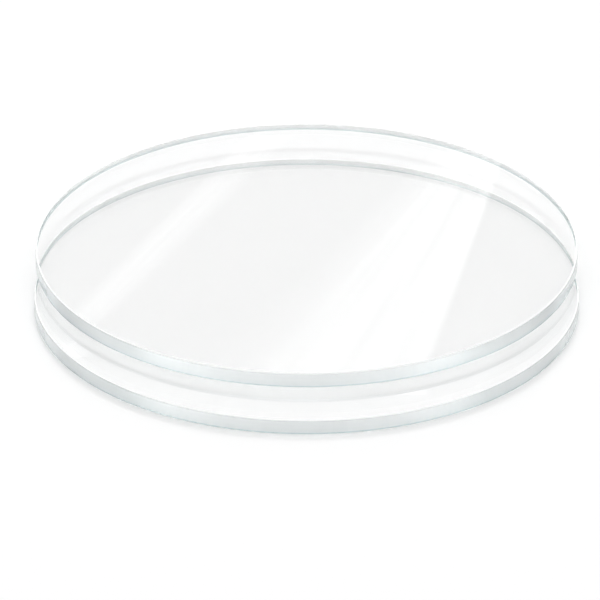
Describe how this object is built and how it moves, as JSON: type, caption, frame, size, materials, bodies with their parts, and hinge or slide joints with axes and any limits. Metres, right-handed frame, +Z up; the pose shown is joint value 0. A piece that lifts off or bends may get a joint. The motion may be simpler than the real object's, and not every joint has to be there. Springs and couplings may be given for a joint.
{
  "type": "circle template set",
  "caption": "Clear acrylic round plates for tracing circles, one lying slid back on the other, with polished rims and finely rounded edges.",
  "frame": {"origin": "middle of the lower disc's underside, on the surface that the set lies on", "axes": "+Z up through the discs, +Y towards the back, the way the upper disc is slid, +X to the right"},
  "size_m": [0.1016, 0.1141, 0.006],
  "materials": {
    "clear_acrylic": "water-clear cast acrylic sheet, glossy faces, polished rim with a faint blue-green cast"
  },
  "bodies": {
    "lower": {"lower_disc": "clear_acrylic"},
    "upper": {"upper_disc": "clear_acrylic"}
  },
  "joints": [
    {"name": "upper_lift", "type": "slide", "parent": "lower", "child": "upper", "axis": [0, 0, 1], "range_m": [0, 0.05]}
  ]
}
